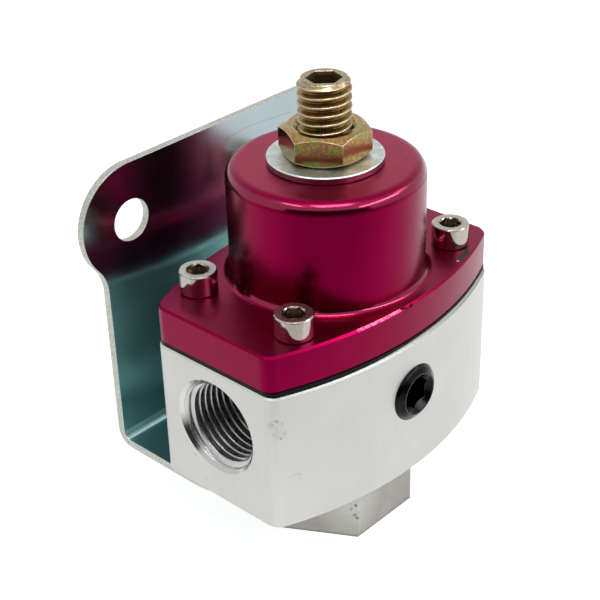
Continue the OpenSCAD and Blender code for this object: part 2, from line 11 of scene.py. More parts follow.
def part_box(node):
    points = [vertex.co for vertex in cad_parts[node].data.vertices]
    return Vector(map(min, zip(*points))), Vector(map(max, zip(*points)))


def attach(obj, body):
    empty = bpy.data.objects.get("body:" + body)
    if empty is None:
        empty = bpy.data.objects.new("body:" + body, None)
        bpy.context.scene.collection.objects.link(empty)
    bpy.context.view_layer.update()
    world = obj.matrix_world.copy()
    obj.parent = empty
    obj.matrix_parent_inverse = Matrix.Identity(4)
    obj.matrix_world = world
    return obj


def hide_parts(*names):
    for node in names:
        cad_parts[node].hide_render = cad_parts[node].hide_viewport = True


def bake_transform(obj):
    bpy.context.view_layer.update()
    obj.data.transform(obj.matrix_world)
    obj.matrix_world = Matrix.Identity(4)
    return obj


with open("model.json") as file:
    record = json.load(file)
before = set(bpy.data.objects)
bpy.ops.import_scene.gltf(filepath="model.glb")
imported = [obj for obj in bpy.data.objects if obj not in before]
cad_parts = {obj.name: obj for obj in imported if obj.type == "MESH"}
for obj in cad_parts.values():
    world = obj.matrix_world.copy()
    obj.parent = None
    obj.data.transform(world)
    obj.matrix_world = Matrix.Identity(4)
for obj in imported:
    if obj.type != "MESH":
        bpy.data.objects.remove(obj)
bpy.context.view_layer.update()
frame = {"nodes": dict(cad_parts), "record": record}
nodes = frame["nodes"]
mounts = {mount["name"]: mount for mount in frame["record"]["mounts"]}

MM = 0.001

# The photograph's camera
CAMERA_PLACE = (-165.54, -150.77, 175.07)
CAMERA_AZIMUTH = -46.354
CAMERA_ELEVATION = 30.438
CAMERA_ROLL = -1.774
CAMERA_LENS = 85.20
CAMERA_SENSOR = 36.0
CAMERA_NEAR = 10.0

# The studio
FLOOR_SIZE = 6000.0
FLOOR_SHADE = 0.36
FLOOR_GLOW = 0.87
FILL_LEVEL = 0.38
AIM = (0.0, 0.0, 50.0)
# Each lamp: name, place, width, depth, watts
LAMPS = (
    ("overhead_softbox", (-120.0, -180.0, 760.0), 340.0, 200.0, 2.2),
    ("front_softbox", (205.0, -530.0, 520.0), 620.0, 80.0, 2.0),
    ("side_softbox", (560.0, -300.0, 560.0), 200.0, 160.0, 0.3),
    ("left_softbox", (-367.0, 98.0, 708.0), 260.0, 70.0, 0.55),
)
# The unlit room behind the camera and the end of the white floor before it, seen in the metal alone
ROOM_DISTANCE = 600.0
ROOM_WIDTH = 1300.0
ROOM_HIGH = 450.0
ROOM_SHADE = 0.05
DIM_FROM = 80.0
DIM_TO = 190.0
DIM_SHADE = 0.55
DIM_LIFT = 0.5

# Springs and cap screws
SPRING_WIRE = 2.0
CAP_RADIUS = 3.43
CAP_SOCKET_RADIUS = 1.85

# Threads
SCREW_PITCH = 1.5875
SCREW_DEPTH = 0.92
SCREW_WORN = 0.22
SCREW_RIM_RADIUS = 4.0
SCREW_SOCKET_FLATS = 4.76
SCREW_SOCKET_BEVEL = 0.5
SCREW_SOCKET_MOUTH = SCREW_SOCKET_FLATS + 2 * SCREW_SOCKET_BEVEL
SCREW_SOCKET_DEPTH = 4.8
SCREW_SOCKET_TURN = 13.6
PIPE_PITCH = 1.411
PIPE_DEPTH = 1.05
PIPE_MOUTH_BEVEL = 0.65
PIPE_GAP = 0.01
PIPE_BLEND = 0.12
STEPS_PER_TURN = 72
POINTS_PER_PITCH = 24
SPARE_TURNS = 2
# One pitch of a thread: share of the pitch, share of the depth
THREAD_PROFILE = (
    (0.00, 0.00),
    (0.10, 0.02),
    (0.17, 0.14),
    (0.42, 0.90),
    (0.48, 1.00),
    (0.60, 1.00),
    (0.66, 0.90),
    (0.91, 0.14),
    (1.00, 0.00),
)

# Meshes: what counts as a sharp edge, in degrees, and as lying at a height
SHARP_ANGLE = 38.0
ON_CUT = 1e-5
AT_HEIGHT = 1e-3

# Materials
METAL = {"Metallic": 1.0}
ACROSS_X = (0.0, 1.0, 1.0)
ACROSS_Z = (1.0, 1.0, 0.0)
BEVEL_SAMPLES = 6
# The range that noise mostly keeps to, and the grain of the noise that roughens marks
NOISE_LOW = 0.3
NOISE_HIGH = 0.7
RAGGED_GRAIN = 1.2
# How well a rounded normal agrees with its face where an edge starts, and where it is full
EDGE_STARTS = 0.995
EDGE_FULL = 0.90

# Places of the wear, and of one painted highlight, that the photograph shows
STAIN_PLACES = ((-28.85, -14.0, 37.3), (-28.45, -14.35, 35.5))
STAIN_RADIUS = 1.0
STAIN_SPECKS = (
    (-29.24, -13.61, 37.44),
    (-28.77, -14.11, 38.27),
    (-28.23, -14.45, 34.55),
    (-29.8, 5.89, 22.34),
    (-29.8, 3.44, 18.06),
)
SPECK_RADIUS = 0.16
HOOK_SCRATCH = (
    (-27.04, -14.97, 25.87),
    (-26.21, -15.32, 26.3),
    (-25.45, -15.62, 26.3),
    (-25.1, -15.76, 25.8),
    (-25.3, -15.68, 25.0),
)
FLANGE_TOP = 50.6
FLANGE_SMUDGE = tuple(
    (x, y, FLANGE_TOP) for x, y in ((21.0, -14.8), (20.3, -15.8), (18.7, -16.3), (17.6, -16.7))
)
FLANGE_SPECK = (16.34, -16.96, FLANGE_TOP)
# Points of the pale painted highlight along the flange's front chamfer
FLANGE_CHAMFER_HIGHLIGHT = ((-13.02, -18.6, 50.46), (-8.3, -19.35, 50.46), (-3.54, -19.74, 50.46))
FLANGE_CHIPS = ((-3.15, -19.73, 50.5), (-1.8, -20.06, 50.21), (-0.44, -20.06, 50.23))
CROWN_TOP = 71.5
CROWN_SCRATCH = tuple(
    (x, y, CROWN_TOP)
    for x, y in ((12.96, -6.32), (11.87, -7.52), (10.39, -8.48), (9.78, -9.83), (8.62, -11.25))
)
CROWN_RING = (5.85, -11.2, CROWN_TOP)
CROWN_RING_RADIUS = 0.7
PLATE_FACE = 27.2
PLATE_LINE = tuple((x, PLATE_FACE, z) for x, z in ((2.0, 66.8), (7.0, 67.4), (11.0, 67.3), (20.6, 66.5)))
HEX_DINGS = (
    (-8.42, -12.52, 6.45),
    (-8.01, -13.23, 7.43),
    (-8.15, -12.99, 5.17),
    (-7.88, -13.44, 4.56),
    (-7.56, -13.55, 5.7),
    (6.26, -13.55, 0.7),
)
DING_RADIUS = 0.30

# The painted highlight line along the diaphragm's lower front: its height, and where it starts and is full
# along X and Y
HIGHLIGHT_LINE_HEIGHT = 0.42
HIGHLIGHT_LINE_ALONG_X = (-16.0, 2.0)
HIGHLIGHT_LINE_ALONG_Y = (-14.0, -16.0)
HIGHLIGHT_LINE_BLEND = 0.04

# The bracket's painted blue-green reflection starts below the first height and is full at the second
TEAL_REFLECTION_HEIGHTS = (62.0, 42.0)


def srgb(red, green, blue):
    """A colour as it is seen, from 0 to 255, in the linear values that a shader takes."""
    shares = [value / 255 for value in (red, green, blue)]
    linear = [s / 12.92 if s <= 0.04045 else ((s + 0.055) / 1.055) ** 2.4 for s in shares]
    return (*linear, 1.0)


def feed(tree, socket, value):
    """Links an output to a socket, or sets a plain value on it."""
    if isinstance(value, bpy.types.NodeSocket):
        tree.links.new(value, socket)
    else:
        socket.default_value = value


def add_node(tree, kind, inputs, output=0, **settings):
    """Adds a node, sets or links its inputs, and gives one of its outputs."""
    node = tree.nodes.new("ShaderNode" + kind)
    for key, value in settings.items():
        setattr(node, key, value)
    for key, value in inputs.items():
        feed(tree, node.inputs[key], value)
    return node.outputs[output]


class Finish:
    """A material with one Principled shader, and short calls for the nodes that feed it."""

    def __init__(self, name, plain):
        self.material = bpy.data.materials.new(name)
        self.material.use_nodes = True
        self.tree = self.material.node_tree
        self.shader = self.tree.nodes["Principled BSDF"]
        for socket, value in plain.items():
            self.shader.inputs[socket].default_value = value
        self.place = self.scaled(self.node("TexCoord", {}, "Object"), 1 / MM)

    def node(self, kind, inputs, output=0, **settings):
        return add_node(self.tree, kind, inputs, output, **settings)

    def math(self, operation, first, second=0.0):
        return self.node("Math", {0: first, 1: second}, operation=operation)

    def vector(self, operation, first, second, output=0):
        return self.node("VectorMath", {0: first, 1: second}, output, operation=operation)

    def scaled(self, vector, by):
        return self.node("VectorMath", {0: vector, "Scale": by}, operation="SCALE")

    def span(self, value, low, high, to_low=0.0, to_high=1.0):
        """Maps low..high onto to_low..to_high, and holds it there."""
        ends = {"Value": value, "From Min": low, "From Max": high, "To Min": to_low, "To Max": to_high}
        return self.node("MapRange", ends)

    def follow(self, noise, to_low=0.0, to_high=1.0):
        """A value that runs from to_low to to_high as noise does."""
        return self.span(noise, NOISE_LOW, NOISE_HIGH, to_low, to_high)

    def noise(self, size, stretch=(1.0, 1.0, 1.0), detail=3.0, output=0):
        """Noise whose grains are about size across, drawn out along each axis by stretch."""
        spread = self.vector("MULTIPLY", self.place, [1 / (size * s) for s in stretch])
        return self.node("TexNoise", {"Vector": spread, "Scale": 1.0, "Detail": detail}, output)

    def mix(self, share, first, second):
        return self.node("Mix", {0: share, 6: first, 7: second}, 2, data_type="RGBA")

    def shades(self, share, stops):
        """A colour that runs through stops, each a position and a colour."""
        output = self.node("ValToRGB", {0: share})
        ramp = output.node.color_ramp
        while len(ramp.elements) < len(stops):
            ramp.elements.new(1.0)
        for element, (position, colour) in zip(ramp.elements, stops):
            element.position = position
            element.color = colour
        return output

    def ragged(self, amount):
        """The place, pushed about by noise, so that a mark has no clean outline."""
        push = self.vector("SUBTRACT", self.noise(RAGGED_GRAIN, detail=4.0, output="Color"), (0.5, 0.5, 0.5))
        return self.vector("ADD", self.place, self.scaled(push, 2 * amount))

    def spot(self, centre, radius, soft, rough_by):
        """1 within radius of centre, 0 outside."""
        distance = self.vector("DISTANCE", self.ragged(rough_by), centre, "Value")
        return self.span(distance, radius + soft, radius - soft)

    def ring(self, centre, radius, width, rough_by):
        """1 on a thin ragged ring about centre, 0 off it."""
        distance = self.vector("DISTANCE", self.ragged(rough_by), centre, "Value")
        off = self.math("ABSOLUTE", self.math("SUBTRACT", distance, radius))
        return self.span(off, width, 0.0)

    def stroke(self, start, end, width, rough_by):
        """1 along the line from start to end, 0 beyond width from it."""
        core = 0.4 * width
        along = Vector(end) - Vector(start)
        from_start = self.vector("SUBTRACT", self.ragged(rough_by), start)
        share = self.vector("DOT_PRODUCT", from_start, along / along.length_squared, "Value")
        nearest = self.scaled(along, self.span(share, 0.0, 1.0))
        return self.span(self.vector("DISTANCE", from_start, nearest, "Value"), width, core)

    def strokes(self, points, width, rough_by):
        """One stroke through a list of points."""
        return self.most([self.stroke(a, b, width, rough_by) for a, b in zip(points, points[1:])])

    def broken(self, mask, size, low=0.42, high=0.55):
        """A mask with gaps eaten into it by noise, which is a gap up to low and none from high."""
        return self.math("MULTIPLY", mask, self.span(self.noise(size), low, high))

    def tint(self, colour, mask, amount, shade):
        """The colour, turned towards shade by amount where the mask is 1."""
        return self.mix(self.math("MULTIPLY", mask, amount), colour, shade)

    def along(self, axis):
        """The place along an axis."""
        return self.node("SeparateXYZ", {0: self.place}, axis)

    def facing(self, axis):
        """The part of the surface's normal along an axis."""
        return self.node("SeparateXYZ", {0: self.node("NewGeometry", {}, "Normal")}, axis)

    def sloped(self, reach=0.42):
        """1 on rounded or bevelled edges between a top and a side, 0 beyond reach from their middle."""
        middle = 0.55
        full = 0.6 * reach
        from_middle = self.math("ABSOLUTE", self.math("SUBTRACT", self.facing("Z"), middle))
        return self.span(from_middle, reach, full)

    def off_axis(self, centre, keep, place=None):
        """A place's distance from an axis through centre, where keep is 0 along it and 1 across it."""
        if place is None:
            place = self.place
        across = self.vector("MULTIPLY", self.vector("SUBTRACT", place, centre), keep)
        return self.node("VectorMath", {0: across}, "Value", operation="LENGTH")

    def most(self, masks):
        """The highest of some masks."""
        total = masks[0]
        for mask in masks[1:]:
            total = self.math("MAXIMUM", total, mask)
        return total

    def rounded(self, radius):
        """A normal that rounds the mesh's sharp edges."""
        return self.node("Bevel", {"Radius": radius * MM}, samples=BEVEL_SAMPLES)

    def edges(self, radius):
        """1 on sharp edges, 0 on open faces."""
        face = self.node("NewGeometry", {}, "Normal")
        agreement = self.vector("DOT_PRODUCT", self.rounded(radius), face, "Value")
        return self.span(agreement, EDGE_STARTS, EDGE_FULL)

    def bump(self, height, depth, normal=None):
        """A normal from a height map that is depth from its lowest to its highest."""
        inputs = {"Height": height, "Distance": depth * MM, "Strength": 1.0}
        if normal is not None:
            inputs["Normal"] = normal
        return self.node("Bump", inputs)

    def done(self, colour, roughness, normal=None, coat=None):
        """Feeds the shader, and gives the material."""
        made = {"Base Color": colour, "Roughness": roughness, "Normal": normal, "Coat Weight": coat}
        for socket, value in made.items():
            if value is not None:
                feed(self.tree, self.shader.inputs[socket], value)
        return self.material


def satin_aluminium(port_centre, port_radius):
    """The milled body: pale metal with upright streaks, painted light on its rounded upright corners, painted
    shade along its bevelled top front edge, smooth port bevels and some wear.
    """
    m = Finish("satin_aluminium", METAL)
    streaks = m.noise(0.45, stretch=(1.0, 1.0, 26.0))
    clouds = m.noise(9.0)
    scratches = m.span(m.noise(0.5, stretch=(1.0, 1.0, 14.0), detail=1.0), 0.70, 0.76)
    bevel = m.span(m.off_axis(port_centre, ACROSS_X), port_radius + 0.03, port_radius)
    corner = m.math("ABSOLUTE", m.math("MULTIPLY", m.facing("X"), m.facing("Y")))
    # Painted shade: a darker tone on the bevelled top front edge, dimming its reflection
    painted_front_edge_shade = m.math("MULTIPLY", m.sloped(), m.span(m.facing("Y"), -0.3, -0.6))
    colour = m.mix(m.follow(streaks), srgb(195, 195, 193), srgb(200, 200, 198))
    colour = m.tint(colour, m.span(clouds, 0.35, 0.7), 0.4, srgb(187, 187, 184))
    colour = m.tint(colour, scratches, 0.14, srgb(168, 168, 167))
    colour = m.tint(colour, bevel, 1.0, srgb(186, 186, 184))
    # Painted light: a paler tone on the rounded upright corners
    colour = m.tint(colour, m.span(corner, 0.25, 0.47), 0.55, srgb(213, 213, 210))
    colour = m.tint(colour, painted_front_edge_shade, 0.9, srgb(146, 146, 144))
    colour = body_wear(m, colour)
    roughness = m.span(streaks, 0.25, 0.75, to_low=0.37, to_high=0.45)
    roughness = m.math("SUBTRACT", roughness, m.math("MULTIPLY", bevel, 0.22))
    relief = m.math("MULTIPLY", streaks, m.math("SUBTRACT", 1.0, bevel))
    return m.done(colour, roughness, m.bump(relief, depth=0.004))


def body_wear(m, colour):
    """The body's colour with its brown stain and specks and its hooked scratch."""
    blotch = m.most([m.spot(place, STAIN_RADIUS, soft=0.5, rough_by=0.8) for place in STAIN_PLACES])
    outline = m.most([m.ring(place, STAIN_RADIUS, width=0.22, rough_by=0.7) for place in STAIN_PLACES])
    specks = m.most([m.spot(place, SPECK_RADIUS, SPECK_RADIUS, rough_by=0.35) for place in STAIN_SPECKS])
    hook = m.strokes(HOOK_SCRATCH, width=0.2, rough_by=0.1)
    colour = m.tint(colour, m.broken(blotch, size=0.8, low=0.35, high=0.6), 0.25, srgb(164, 152, 136))
    colour = m.tint(colour, m.broken(outline, size=0.6), 0.35, srgb(146, 130, 108))
    colour = m.tint(colour, specks, 0.7, srgb(128, 104, 76))
    return m.tint(colour, hook, 0.35, srgb(160, 160, 160))


def cut_thread(name, tone):
    """A cut thread: smoother than the faces round it, with chatter along its flanks."""
    m = Finish(name, METAL)
    chatter = m.noise(0.6, stretch=(1.0, 3.0, 3.0))
    dark = tone - 14
    colour = m.mix(chatter, srgb(dark, dark, dark), srgb(tone, tone, tone))
    return m.done(colour, m.follow(chatter, 0.24, 0.32))


def red_anodise():
    """The cover: crimson dyed oxide on satin metal, with painted light making its crown paler, and glossier on
    the dome's edges.
    """
    m = Finish("red_anodise", {**METAL, "Coat Roughness": 0.1})
    clouds = m.noise(4.0)
    satin = m.noise(0.22, detail=2.0)
    height = m.along("Z")
    level = m.span(m.facing("Z"), 0.97, 1.0)
    crown = m.math("MULTIPLY", level, m.span(height, FLANGE_TOP + 1.0, FLANGE_TOP + 2.0))
    polished = m.math("MULTIPLY", m.sloped(0.3), m.span(height, FLANGE_TOP, FLANGE_TOP + 0.2))
    chips = m.broken(m.strokes(FLANGE_CHIPS, width=0.30, rough_by=0.35), size=0.7)
    colour = m.mix(clouds, srgb(120, 2, 48), srgb(132, 4, 56))
    # Painted light: the flat upward face of the crown is made paler
    colour = m.tint(colour, crown, 1.0, srgb(146, 6, 60))
    colour = cover_wear(m, colour, chips)
    roughness = m.math("ADD", m.follow(satin, 0.24, 0.30), m.math("MULTIPLY", chips, 0.4))
    roughness = m.math("ADD", roughness, m.math("MULTIPLY", level, 0.08))
    roughness = m.math("SUBTRACT", roughness, m.math("MULTIPLY", polished, 0.07))
    return m.done(colour, roughness, m.bump(satin, depth=0.0006), coat=m.math("MULTIPLY", polished, 0.6))


def cover_wear(m, colour, chips):
    """The cover's colour with the rubs on its crown, the smudge, speck and chipped rim of its flange, and a
    painted highlight along the flange's front chamfer.
    """
    scratch = m.strokes(CROWN_SCRATCH, width=0.32, rough_by=0.15)
    ring = m.ring(CROWN_RING, CROWN_RING_RADIUS, width=0.24, rough_by=0.2)
    rubs = m.broken(m.math("MAXIMUM", scratch, ring), size=0.9, low=0.32, high=0.5)
    smudge = m.broken(m.strokes(FLANGE_SMUDGE, width=1.0, rough_by=0.7), size=0.8, low=0.34, high=0.46)
    # Painted highlight: a pale broken stroke along the flange's front chamfer
    painted_chamfer_highlight = m.broken(m.strokes(FLANGE_CHAMFER_HIGHLIGHT, width=0.42, rough_by=0.15), size=0.6, low=0.30, high=0.62)
    speck = m.spot(FLANGE_SPECK, radius=0.20, soft=0.08, rough_by=0.08)
    colour = m.tint(colour, rubs, 0.45, srgb(96, 4, 40))
    colour = m.tint(colour, smudge, 0.95, srgb(38, 46, 42))
    colour = m.tint(colour, painted_chamfer_highlight, 0.5, srgb(222, 112, 142))
    colour = m.tint(colour, chips, 1.0, srgb(24, 12, 14))
    return m.tint(colour, speck, 1.0, srgb(226, 214, 214))


def black_rubber(sheet_foot):
    """The diaphragm: soft black sheet with a little dust, and a pale painted highlight line along its lower
    front edge.
    """
    m = Finish("black_rubber", {"Specular IOR Level": 0.12})
    dust = m.noise(0.6)
    colour = m.mix(m.span(dust, 0.5, 0.8), srgb(6, 5, 6), srgb(18, 17, 17))
    share = m.math("MULTIPLY", m.span(m.along("X"), *HIGHLIGHT_LINE_ALONG_X), m.span(m.along("Y"), *HIGHLIGHT_LINE_ALONG_Y))
    above = m.math("SUBTRACT", m.along("Z"), m.math("MULTIPLY", share, HIGHLIGHT_LINE_HEIGHT))
    under = m.span(above, sheet_foot + HIGHLIGHT_LINE_BLEND, sheet_foot - HIGHLIGHT_LINE_BLEND)
    # Painted highlight: a pale thin line along the foot of the sheet at the front
    painted_highlight_line = m.math("MULTIPLY", under, m.span(share, 0.0, 0.1))
    colour = m.tint(colour, painted_highlight_line, 1.0, srgb(208, 208, 205))
    return m.done(colour, m.span(dust, 0.3, 0.8, to_low=0.35, to_high=0.6), m.bump(dust, depth=0.02))


def polished_nickel(head, top):
    """The cap screws: bright plate with fine handling marks, brown and dull in and about their sockets."""
    m = Finish("polished_nickel", METAL)
    marks = m.noise(0.5)
    quarter = m.node("VectorMath", {0: m.place}, operation="ABSOLUTE")
    radius = m.off_axis(head, ACROSS_Z, quarter)
    below = m.math("SUBTRACT", top, m.along("Z"))
    inside = m.span(radius, CAP_SOCKET_RADIUS + 0.1, CAP_SOCKET_RADIUS)
    socket = m.math("MULTIPLY", inside, m.span(below, 0.05, 0.5))
    about = m.span(radius, CAP_SOCKET_RADIUS + 0.8, CAP_SOCKET_RADIUS + 0.2)
    grime = m.math("MULTIPLY", m.broken(about, size=0.4, low=0.46, high=0.56), m.span(below, 0.4, 0.1))
    colour = m.mix(marks, srgb(162, 154, 145), srgb(188, 181, 172))
    colour = m.tint(colour, socket, 0.85, srgb(104, 88, 66))
    colour = m.tint(colour, grime, 0.6, srgb(70, 60, 46))
    dull = m.math("MAXIMUM", socket, m.span(m.facing("Z"), 0.9, 1.0))
    roughness = m.span(marks, 0.3, 0.8, to_low=0.06, to_high=0.14)
    roughness = m.math("ADD", roughness, m.math("MULTIPLY", dull, 0.22))
    return m.done(colour, roughness, m.rounded(0.2))


def yellow_zinc_nut():
    """The jam nut: chromated zinc, whose thin film runs from gold to olive and mauve in soft patches."""
    m = Finish("yellow_zinc_nut", METAL)
    film = m.noise(2.0, detail=5.0)
    grit = m.noise(0.22, detail=2.0)
    upright = m.span(m.facing("Z"), 0.45, 0.15)
    colour = m.shades(film, (
        (0.34, srgb(122, 140, 82)),
        (0.44, srgb(164, 146, 76)),
        (0.51, srgb(154, 104, 84)),
        (0.58, srgb(166, 146, 80)),
        (0.68, srgb(120, 138, 96)),
    ))
    colour = m.tint(colour, m.span(grit, 0.50, 0.72), 0.45, srgb(108, 80, 50))
    colour = m.tint(colour, m.span(grit, 0.40, 0.28), 0.35, srgb(206, 186, 140))
    colour = m.tint(colour, m.edges(0.28), 0.75, srgb(206, 186, 156))
    colour = m.tint(colour, m.math("MULTIPLY", m.edges(0.10), upright), 0.5, srgb(92, 66, 48))
    return m.done(colour, m.follow(grit, 0.15, 0.25), m.bump(grit, 0.006, m.rounded(0.25)))


def yellow_zinc_screw(crest, top):
    """The set screw: chromated zinc, silvery on its crests and rim, dirty in its roots, with painted shade in
    its socket that grows darker towards the bottom.
    """
    m = Finish("yellow_zinc_screw", METAL)
    film = m.noise(1.0, detail=4.0)
    grit = m.noise(0.22, detail=2.0)
    radius = m.off_axis((0.0, 0.0, 0.0), ACROSS_Z)
    below = m.math("SUBTRACT", top, m.along("Z"))
    uneven = m.math("MULTIPLY", m.math("SUBTRACT", grit, 0.5), 0.30)
    worn = m.span(m.math("ADD", radius, uneven), crest - SCREW_WORN, crest - 0.3 * SCREW_WORN)
    rim = m.broken(m.span(m.math("ADD", below, uneven), 0.95, 0.65), size=0.35, low=0.36, high=0.60)
    mouth_radius = SCREW_SOCKET_MOUTH / math.sqrt(3)
    inside = m.span(radius, mouth_radius + 0.05, mouth_radius)
    socket = m.math("MULTIPLY", inside, m.span(below, 0.03, 0.15))
    colour = m.shades(film, (
        (0.36, srgb(98, 90, 46)),
        (0.48, srgb(150, 122, 66)),
        (0.56, srgb(138, 98, 54)),
        (0.66, srgb(118, 108, 62)),
    ))
    colour = m.tint(colour, m.span(grit, 0.52, 0.70), 0.6, srgb(58, 46, 26))
    colour = m.tint(colour, worn, 0.7, srgb(188, 180, 160))
    colour = m.tint(colour, rim, 0.65, srgb(188, 182, 164))
    # Painted shade: the socket is darkened, more so towards its bottom
    depths = m.mix(m.span(below, 0.4, 0.7), srgb(30, 24, 14), srgb(88, 68, 38))
    colour = m.tint(colour, socket, 0.97, depths)
    roughness = m.math("ADD", m.follow(grit, 0.24, 0.38), m.math("MULTIPLY", socket, 0.3))
    return m.done(colour, roughness, m.bump(grit, 0.012, m.rounded(0.12)))


def clear_zinc():
    """The washer: speckled grey plate with a smoother rim, darkened to a mauve grey as a painted reflection.
    """
    m = Finish("clear_zinc", METAL)
    grain = m.noise(0.28, detail=2.0)
    clouds = m.noise(1.6)
    rim = m.span(m.facing("Z"), 0.5, 0.2)
    colour = m.mix(m.span(clouds, 0.35, 0.65), srgb(182, 191, 186), srgb(210, 218, 216))
    colour = m.tint(colour, m.span(grain, 0.52, 0.70), 0.4, srgb(112, 110, 100))
    # Painted reflection: the upright rim is darkened to a mauve grey
    colour = m.tint(colour, rim, 0.6, srgb(120, 112, 116))
    roughness = m.math("SUBTRACT", m.follow(grain, 0.38, 0.48), m.math("MULTIPLY", rim, 0.24))
    return m.done(colour, roughness, m.bump(grain, 0.006, m.rounded(0.1)))


def bright_zinc(shelf_top):
    """The bracket: smooth plate, nearly a mirror, with a painted blue-green reflection low on its inner face,
    and raw pale cut edges.
    """
    m = Finish("bright_zinc", METAL)
    clouds = m.noise(7.0)
    speckle = m.noise(0.30, detail=2.0)
    dust = m.span(m.noise(0.3, detail=1.0), 0.79, 0.84)
    height = m.along("Z")
    inward = m.facing("Y")
    upward = m.facing("Z")
    shelf = m.span(height, shelf_top + 2.5, shelf_top + 0.5)
    plate = m.span(height, shelf_top, shelf_top + 1.0)
    on_shelf = m.math("MULTIPLY", m.math("ABSOLUTE", upward), shelf)
    on_plate = m.math("MULTIPLY", m.math("ABSOLUTE", inward), plate)
    raw = m.span(m.math("MAXIMUM", on_shelf, on_plate), 0.8, 0.5)
    inner = m.span(m.math("SUBTRACT", upward, inward), 0.2, 0.5)
    # Painted reflection: a paler blue-green tone low on the inner faces
    painted_teal_reflection = m.math("MULTIPLY", inner, m.span(height, *TEAL_REFLECTION_HEIGHTS))
    colour = m.mix(clouds, srgb(156, 170, 174), srgb(170, 184, 188))
    colour = m.mix(painted_teal_reflection, colour, m.mix(clouds, srgb(180, 222, 224), srgb(192, 232, 234)))
    colour = m.tint(colour, m.strokes(PLATE_LINE, width=0.16, rough_by=0.05), 0.35, srgb(120, 130, 136))
    sawn = m.mix(m.span(speckle, 0.38, 0.62), srgb(158, 160, 152), srgb(196, 199, 188))
    colour = m.mix(raw, colour, sawn)
    matt = m.most([raw, m.sloped(), dust])
    roughness = m.math("ADD", m.follow(clouds, 0.16, 0.21), m.math("MULTIPLY", matt, 0.2))
    return m.done(colour, roughness, m.bump(speckle, 0.002, m.rounded(0.2)))


def black_oxide():
    """The gauge plug: oiled black steel, with a grey painted highlight along its edges."""
    m = Finish("black_oxide", METAL)
    grain = m.noise(0.4)
    colour = m.mix(grain, srgb(24, 24, 25), srgb(38, 38, 39))
    # Painted highlight: a grey tone along the sharp edges
    colour = m.tint(colour, m.edges(0.25), 0.35, srgb(140, 140, 142))
    return m.done(colour, m.follow(grain, 0.16, 0.26), m.bump(grain, 0.005, m.rounded(0.25)))


def grey_aluminium():
    """The hexagon fitting: dull sawn bar, paler along its front edge, with dings there, and darker at its
    foot.
    """
    m = Finish("grey_aluminium", METAL)
    grain = m.noise(0.25, stretch=(1.5, 1.5, 1.0), detail=2.0)
    clouds = m.noise(4.0)
    foot = m.span(m.along("Z"), 0.5, 0.1)
    dings = m.most([m.spot(place, DING_RADIUS, soft=0.2, rough_by=0.6) for place in HEX_DINGS])
    pits = m.broken(dings, size=0.7)
    near = m.span(m.vector("DISTANCE", m.place, HEX_DINGS[0], "Value"), 8.0, 1.0)
    colour = m.mix(clouds, srgb(150, 148, 141), srgb(170, 168, 162))
    colour = m.tint(colour, near, 0.6, srgb(206, 206, 202))
    colour = m.tint(colour, m.span(grain, 0.50, 0.72), 0.3, srgb(132, 130, 122))
    # Darker towards the bottom edge
    colour = m.tint(colour, foot, 0.6, srgb(84, 76, 62))
    colour = m.tint(colour, pits, 0.8, srgb(82, 76, 66))
    relief = m.math("SUBTRACT", m.math("MULTIPLY", grain, 0.1), pits)
    return m.done(colour, m.follow(grain, 0.38, 0.50), m.bump(relief, 0.12, m.rounded(0.15)))


def turned_metal(name, colour, roughness):
    """An inner piece: turned metal with fine rings of tool marks."""
    m = Finish(name, METAL)
    rings = m.noise(0.3, stretch=(4.0, 4.0, 1.0))
    dark = (*[0.8 * value for value in colour[:3]], 1.0)
    uneven = m.follow(rings, roughness - 0.06, roughness + 0.06)
    return m.done(m.mix(rings, dark, colour), uneven, m.bump(rings, 0.004, m.rounded(0.1)))


def dress(material, *names):
    """Gives CAD nodes a material."""
    for name in names:
        for slot in nodes[name].material_slots:
            slot.material = material


def add_object(name, data):
    """Puts a mesh, a lamp or a camera in the scene."""
    thing = bpy.data.objects.new(name, data)
    bpy.context.scene.collection.objects.link(thing)
    return thing


def mesh_object(name, bm, material):
    """Puts a mesh that is ready in the scene, with its material."""
    mesh = bpy.data.meshes.new(name)
    bm.to_mesh(mesh)
    bm.free()
    mesh.materials.append(material)
    return add_object(name, mesh)


def mesh_piece(name, bm, material):
    """Makes a piece from a mesh in millimetres, smooth apart from its sharp edges."""
    bmesh.ops.recalc_face_normals(bm, faces=bm.faces)
    piece = mesh_object(name, bm, material)
    piece.data.transform(Matrix.Scale(MM, 4))
    piece.data.shade_smooth()
    piece.data.set_sharp_from_angle(angle=math.radians(SHARP_ANGLE))
    return piece


def turned(degrees, axis):
    """A turn about an axis."""
    return Matrix.Rotation(math.radians(degrees), 4, axis)


def profile_height(share):
    """The height of a thread's profile at a share of its pitch."""
    for (start, low), (end, high) in zip(THREAD_PROFILE, THREAD_PROFILE[1:]):
        if share <= end:
            return low + (high - low) * (share - start) / (end - start)


